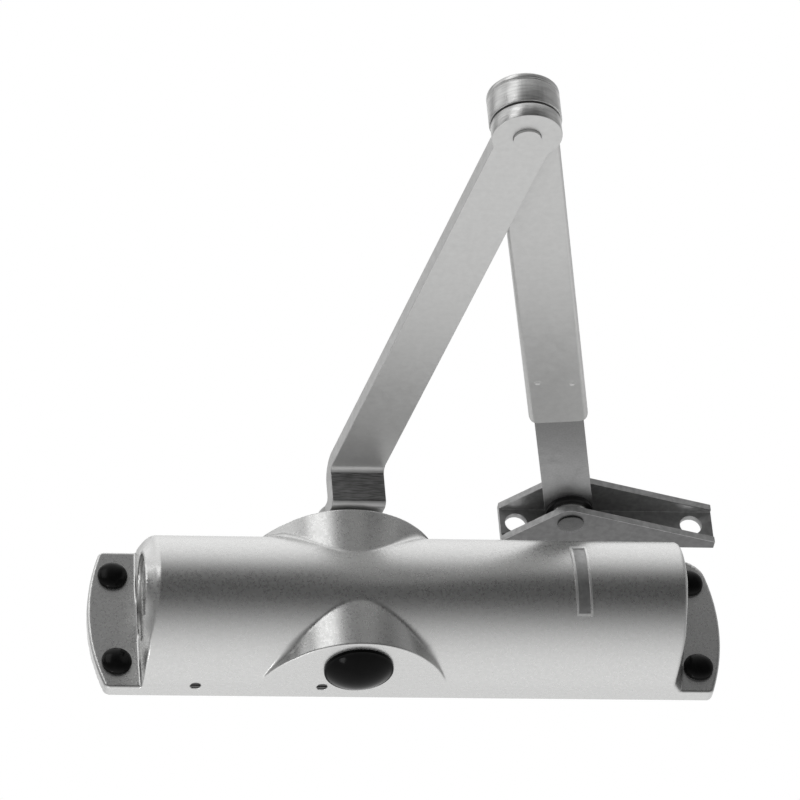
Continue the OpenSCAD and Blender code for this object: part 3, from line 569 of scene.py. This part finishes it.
def cell_points(grid, distance, cell):
    """A point in each crossed cell, in the middle of where the surface crosses the cell's edges."""
    total, hits = np.zeros((cell.sum(), 3)), np.zeros(cell.sum())
    for start in CELL_CORNERS:
        for axis in range(3):
            if start[axis]:
                continue
            end = list(start)
            end[axis] = 1
            here, there = at_corner(distance, start)[cell], at_corner(distance, end)[cell]
            cross = (here < 0) != (there < 0)
            share = np.where(cross, here / np.where(cross, here - there, 1), 0)
            for k in range(3):
                a, b = at_corner(grid[k], start)[cell], at_corner(grid[k], end)[cell]
                total[:, k] += np.where(cross, a + share * (b - a), 0)
            hits += cross
    return total / hits[:, None]


def crossing_quads(inside, number):
    """A quad for each grid edge that the surface crosses, of the points of the cells round it."""
    quads = []
    for axis in range(3):
        low, high = [slice(1, -1)] * 3, [slice(1, -1)] * 3
        low[axis], high[axis] = slice(0, -1), slice(1, None)
        a, b = inside[tuple(low)], inside[tuple(high)]
        e, f = [k for k in range(3) if k != axis]
        base = np.argwhere(a != b)
        forward = a[tuple(base.T)] if axis != 1 else ~a[tuple(base.T)]
        base[:, e] += 1
        base[:, f] += 1
        loop = []
        for step_e, step_f in ((-1, -1), (0, -1), (0, 0), (-1, 0)):
            cell = base.copy()
            cell[:, e] += step_e
            cell[:, f] += step_f
            loop.append(number[tuple(cell.T)])
        quad = np.stack(loop, 1)
        quad[~forward] = quad[~forward][:, ::-1]
        quads.append(quad)
    return np.concatenate(quads)


def settle(field, points):
    """Moves points along the field's slope onto its surface."""
    for _ in range(SETTLE_MOVES):
        slope = slopes(field, points, SETTLE_STEP)
        push = field(*points.T) / np.maximum((slope ** 2).sum(1), SETTLE_LEAST)
        points = points - SETTLE_SHARE * slope * push[:, None]
    return points


def surface_net(field, xs, ys, zs):
    """Points and quads on the zero surface of a distance field, from a grid of its values."""
    grid = np.meshgrid(xs, ys, zs, indexing="ij")
    distance = field(*grid)
    inside = distance < 0
    count = sum(at_corner(inside, corner).astype(np.int8) for corner in CELL_CORNERS)
    cell = (count > 0) & (count < len(CELL_CORNERS))
    number = np.full(cell.shape, -1)
    number[cell] = np.arange(cell.sum())
    return settle(field, cell_points(grid, distance, cell)), crossing_quads(inside, number)


# Grid of the casing, which ends a margin past it. Its steps are small at edges, fillets and
# valves, and large along the plain barrel
MARGIN_X, MARGIN_YZ, DOOR_MARGIN = 1.2, 0.8, 1.0
ENDS_X, BOSSES_X, VALVE_REACH = (-87, 86), (-60, 18), 2.5
NOSE_Y, FLANGE_Y, EDGE_DEPTH = -31, (-9, -3.6), 2
NORMAL_STEP, LEAST_NORMAL = 0.25, 1e-6


def make_casing():
    """The casting, as a net of points on its distance field."""
    left, right = VALVES[0].x, VALVES[1].x
    left_low, left_high = left - VALVE_REACH, left + VALVE_REACH
    right_low, right_high = right - VALVE_REACH, right + VALVE_REACH
    xs = spaced((-HALF_LEN - MARGIN_X, ENDS_X[0], 0.55), (ENDS_X[0], left_low, 1.3),
                (left_low, left_high, 0.5), (left_high, BOSSES_X[0], 2.2),
                (BOSSES_X[0], right_low, 0.9), (right_low, right_high, 0.5),
                (right_high, BOSSES_X[1], 0.9), (BOSSES_X[1], ENDS_X[1], 3.3),
                (ENDS_X[1], HALF_LEN + MARGIN_X, 0.7))
    ys = spaced((FRONT_Y - MARGIN_YZ, NOSE_Y, 0.4), (NOSE_Y, FLANGE_Y[0], 1.0),
                (*FLANGE_Y, 0.5), (FLANGE_Y[1], DOOR_MARGIN, 0.7))
    top, inner = HALF_H + MARGIN_YZ, HALF_H - EDGE_DEPTH
    zs = spaced((-top, -inner, 0.35), (-inner, inner, 1.15), (inner, top, 0.35))
    points, quads = surface_net(casing, xs, ys, zs)
    mesh = bpy.data.meshes.new("casing")
    mesh.from_pydata((points * MM).tolist(), [], quads.tolist())
    mesh.update()
    mesh.polygons.foreach_set("use_smooth", [True] * len(mesh.polygons))
    normals = slopes(casing, points, NORMAL_STEP)
    normals /= np.maximum(np.linalg.norm(normals, axis=1), LEAST_NORMAL)[:, None]
    mesh.normals_split_custom_set_from_vertices(normals.tolist())
    mesh.materials.append(materials["casting_paint"])
    new_piece("casing", mesh, "body_casting")


# Badge: the width of its border and of the slope inside it, and the field's depth
BADGE_BORDER, BADGE_SLOPE, BADGE_SINK = 0.7, 0.22, 0.4
# Faces: the least cosine between a face and the way it faces, and the largest upward share of an
# upright face
OUTWARDS, FRONTWARDS, UPRIGHT = 0.9, 0.97, 0.3


def make_badge():
    """A blank plate that follows the barrel, with a raised border round a plain lower field."""
    build = copy_of("blank_badge")
    build.normal_update()
    axis = Vector((0, BARREL_Y * MM, 0))

    def outwards(face):
        way = face.calc_center_median() - axis
        way.x = 0
        return face.normal.dot(way.normalized()) > OUTWARDS

    field = [face for face in build.faces if outwards(face)]
    bmesh.ops.inset_region(build, faces=field, thickness=BADGE_BORDER * MM, use_even_offset=True)
    bmesh.ops.inset_region(build, faces=field, thickness=BADGE_SLOPE * MM,
                           depth=-BADGE_SINK * MM, use_even_offset=True)
    build.normal_update()
    for face in build.faces:
        face.smooth = outwards(face)
    for face in field:
        face.material_index = 1
    built_piece("badge", build, "blank_badge", "badge_field")


# Turned pieces: the sides of a turn, and the angle from which an edge is sharp
LATHE_SIDES, LATHE_SHARP = 64, math.radians(40)


def lathe(build, profile, place):
    """Turns a profile of (radius, height) round the local Z of place, as a closed solid."""
    rings = []
    for r, h in profile:
        if not r:
            rings.append([build.verts.new(place @ Vector((0, 0, h * MM)))])
            continue
        turns = [2 * math.pi * k / LATHE_SIDES for k in range(LATHE_SIDES)]
        rings.append([build.verts.new(place @ (Vector((r * math.cos(a), r * math.sin(a), h)) * MM))
                      for a in turns])
    for low, high in zip(rings, rings[1:]):
        for k in range(LATHE_SIDES):
            loop = [low[k % len(low)], low[(k + 1) % len(low)], high[(k + 1) % len(high)],
                    high[k % len(high)]]
            build.faces.new(list(dict.fromkeys(loop)))


def lathe_piece(name, node, profile, places):
    build = bmesh.new()
    for place in places:
        lathe(build, profile, place)
    bmesh.ops.recalc_face_normals(build, faces=build.faces)
    for face in build.faces:
        face.smooth = True
    for edge in build.edges:
        if len(edge.link_faces) == 2 and edge.calc_face_angle(0) > LATHE_SHARP:
            edge.smooth = False
    built_piece(name, build, node)


def make_cap():
    """The black cap under the spindle: a plug in the bearing's seat, a short wall and a dome."""
    low, high = box_mm("spindle_cap")
    radius, seat, gap = radius_mm("spindle_cap"), -HALF_H, 0.02
    depth, wall, corner, steps = seat - low.z, 1.2, 0.9, 16
    rise, rim, tuck = depth - wall, radius - corner / 2, corner * 0.12
    crown = (rim ** 2 + rise ** 2) / (2 * rise)
    profile = [(0, high.z - seat), (BEARING_R, high.z - seat), (BEARING_R, gap), (radius, gap),
               (radius, -wall + corner / 2), (radius - tuck, -wall)]
    turns = [math.asin(rim / crown) * k / steps for k in range(steps, 0, -1)]
    profile += [(crown * math.sin(a), crown - depth - crown * math.cos(a)) for a in turns]
    profile.append((0, -depth))
    lathe_piece("cap", "spindle_cap", profile,
                [Matrix.Translation(Vector((SPINDLE_X, SPINDLE_Y, seat)) * MM)])


def make_screws():
    """Four black screws, their heads plain and domed."""
    head_h, shank_r, neck_r, rim, steps = -FLANGE_T - SCREW_LOW.y, 2.5, 2.65, 0.7, 12
    tip = -SCREW_HIGH.y - FLANGE_T
    profile = [(0, tip), (shank_r, tip), (shank_r, -FLANGE_T), (neck_r, -FLANGE_T), (neck_r, 0),
               (SCREW_HEAD_R, 0)]
    turns = [math.pi / 2 * k / steps for k in range(steps)]
    profile += [(SCREW_HEAD_R * math.cos(a), rim + (head_h - rim) * math.sin(a)) for a in turns]
    profile.append((0, head_h))
    outwards = Matrix.Rotation(math.pi / 2, 4, "X")
    places = [Vector((side_x * SCREW_X, -FLANGE_T, side_z * SCREW_Z)) * MM
              for side_x, side_z in CORNERS]
    lathe_piece("screws", "fixing_screws", profile,
                [Matrix.Translation(place) @ outwards for place in places])


def make_spring():
    """The closing spring, a piece with its own copy of the CAD node's mesh."""
    mesh = nodes["closing_spring"].data.copy()
    mesh.name = "spring"
    spring = new_piece("spring", mesh, "closing_spring")
    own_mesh(spring)


# Arms: the main arm's web lies between its two bends, and its eye is round the elbow
WEB_GAP, EYE_WALL = 3, 1
WEB_LOW, WEB_HIGH = GLAND_HIGH.z + WEB_GAP, box_mm("elbow_rivet")[0].z
ELBOW_LOW, ELBOW_HIGH = box_mm("elbow_knuckle")
ELBOW = (ELBOW_LOW + ELBOW_HIGH) / 2
EYE_R = radius_mm("elbow_knuckle") + EYE_WALL


def arm_face(face):
    """The flat web between the arm's two bends takes a darker finish, which is painted shade, and
    the eye's wall is bright.
    """
    middle = face.calc_center_median() / MM
    if -face.normal.y > FRONTWARDS and WEB_LOW < middle.z < WEB_HIGH:
        return 1
    at_eye = math.hypot(middle.x - ELBOW.x, middle.y - ELBOW.y) < EYE_R
    return 2 if at_eye and abs(face.normal.z) < UPRIGHT else 0


def make_arms():
    # The web takes a darker finish, painted shade, and the eye's wall the knuckle's steel
    bevelled("arm", "main_arm", 0.45, "bend_face", "knuckle_steel", choose=arm_face)
    bevelled("sleeve", "forearm_sleeve", 0.25, sharp=50)
    bevelled("bar", "forearm_bar", 0.35)


# Bracket: a folded sheet with two ears
SHEET_T, EAR_MARGIN = 2.5, 0.1
BRACKET_LOW, BRACKET_HIGH = box_mm("frame_bracket")
EAR_MID = (BRACKET_LOW.z + BRACKET_HIGH.z) / 2
EAR_GAP = BRACKET_HIGH.z - BRACKET_LOW.z - 2 * SHEET_T


def bracket_face(face):
    """The cut edges of the two ears take a lighter finish, a painted highlight, and faces whose
    middle lies between the ears take another lighter one, painted light where they lie in shade.
    """
    height = abs(face.calc_center_median().z / MM - EAR_MID)
    away_from_door = face.normal.y < -UPRIGHT
    if away_from_door and abs(face.normal.z) < UPRIGHT and height > EAR_GAP / 2:
        return 1
    return 2 if height < EAR_GAP / 2 + EAR_MARGIN else 0


def make_bracket():
    # The ears' cut edges and rounded edges take a lighter finish, a painted highlight, and the
    # faces between the ears a lighter one, painted light where they lie in shade
    bevelled("bracket", "frame_bracket", 0.5, "cut_edge", "worn_steel", choose=bracket_face, rounded_edge_finish=1)


make_world()
for name, (place, size, watts) in LAMPS.items():
    make_lamp(name, place, size, watts)
make_floor()
scene.view_settings.view_transform = "Standard"

dress_nodes()
make_casing()
make_badge()
make_cap()
make_screws()
make_spring()
make_arms()
make_bracket()
bevelled("knuckle", "elbow_knuckle", 0.25)
